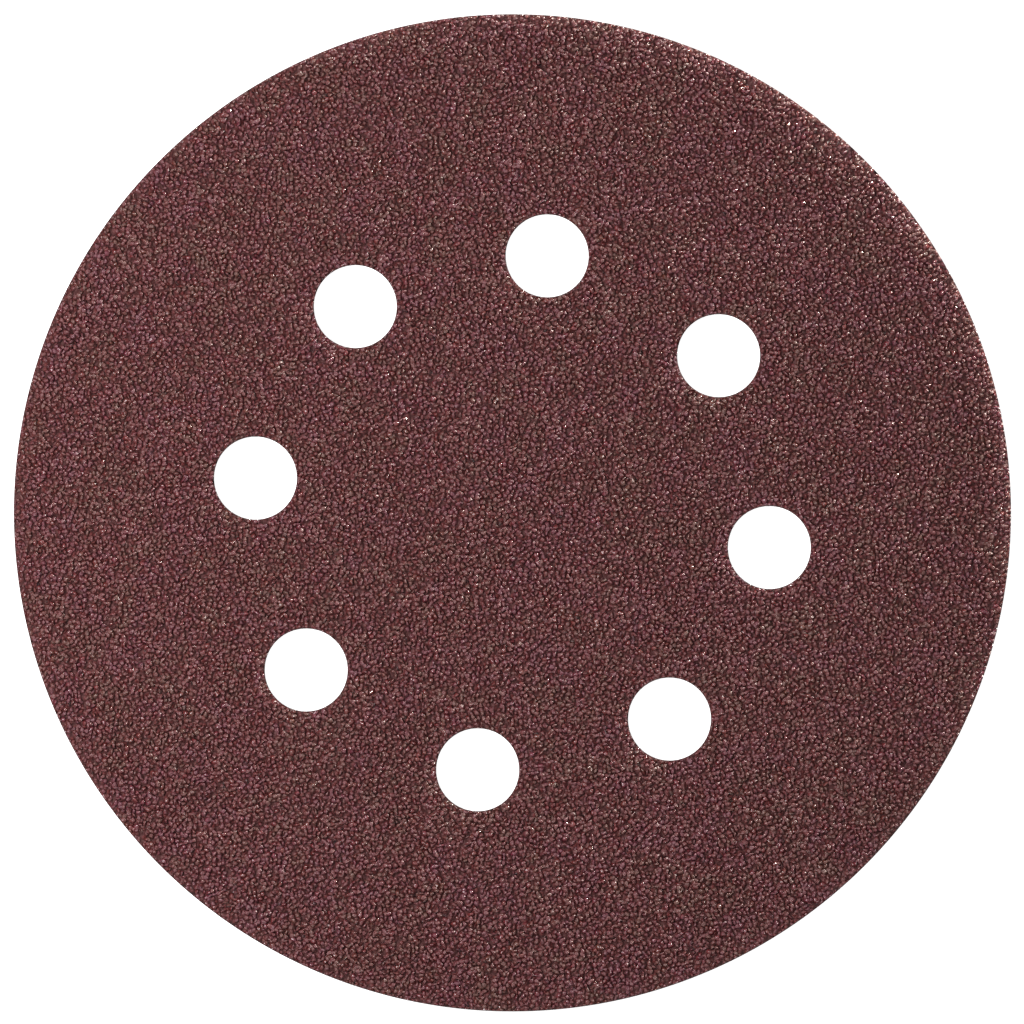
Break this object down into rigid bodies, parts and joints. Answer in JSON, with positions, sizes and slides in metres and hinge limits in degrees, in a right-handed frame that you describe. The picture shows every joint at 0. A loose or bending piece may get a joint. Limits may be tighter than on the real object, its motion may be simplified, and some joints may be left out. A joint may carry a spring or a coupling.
{
  "type": "hook and loop sanding disc",
  "caption": "Thin round sanding disc: coarse grain on one face, loop fabric on the other, and a ring of round dust holes.",
  "frame": {"origin": "middle of the loop face, on the disc's axis", "axes": "+Z out of the coated face along the disc's axis, +X through the first dust hole"},
  "size_m": [0.125, 0.125, 0.0018],
  "materials": {
    "loop_fabric": "brushed knitted nylon loops",
    "backing_paper": "heavy resin-sized kraft paper, cut edge",
    "grain_coat": "coarse brown aluminium oxide grain in dark red resin"
  },
  "bodies": {
    "root": {"loop_fabric": "loop_fabric", "backing_paper": "backing_paper", "grain_coat": "grain_coat"}
  },
  "joints": []
}
